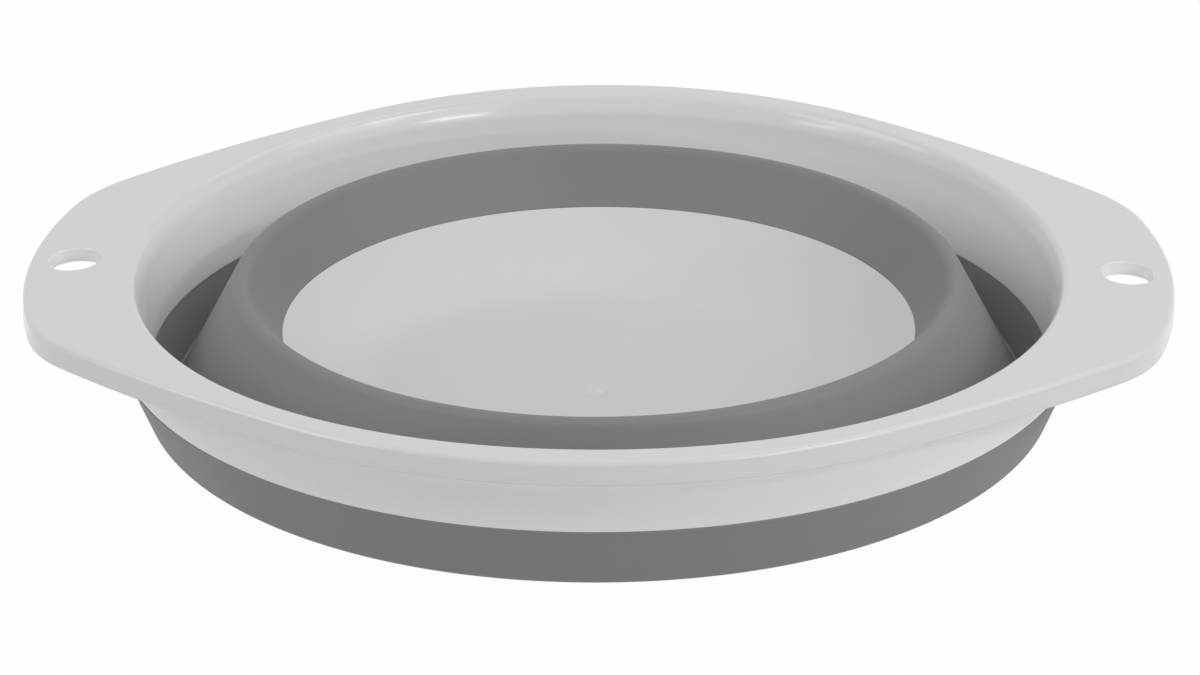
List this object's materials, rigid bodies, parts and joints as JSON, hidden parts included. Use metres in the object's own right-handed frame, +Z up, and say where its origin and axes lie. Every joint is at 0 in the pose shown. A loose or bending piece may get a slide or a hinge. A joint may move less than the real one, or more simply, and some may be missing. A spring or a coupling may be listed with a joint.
{
  "type": "collapsible bowl",
  "caption": "Collapsible kitchen bowl, folded flat: light rigid rim with drooping ears and hanging holes, grey soft wall in folded zones, light dished base. It pops open along one slide.",
  "frame": {"origin": "on the table under the middle of the base, at the lowest point of the foot ring", "axes": "+X along the two ears, +Y across them, +Z up and out of the bowl's mouth"},
  "size_m": [0.342, 0.296, 0.0486],
  "materials": {
    "rigid_plastic": "satin",
    "soft_wall": "matte"
  },
  "bodies": {
    "base": {"base_dish": "rigid_plastic", "inner_wall": "soft_wall"},
    "rim": {"rim_frame": "rigid_plastic", "outer_wall": "soft_wall", "folding_wall": "soft_wall"}
  },
  "joints": [
    {"name": "pop_open", "type": "slide", "parent": "base", "child": "rim", "axis": [0, 0, 1], "range_m": [0, 0.06], "deforming": ["folding_wall"]}
  ]
}
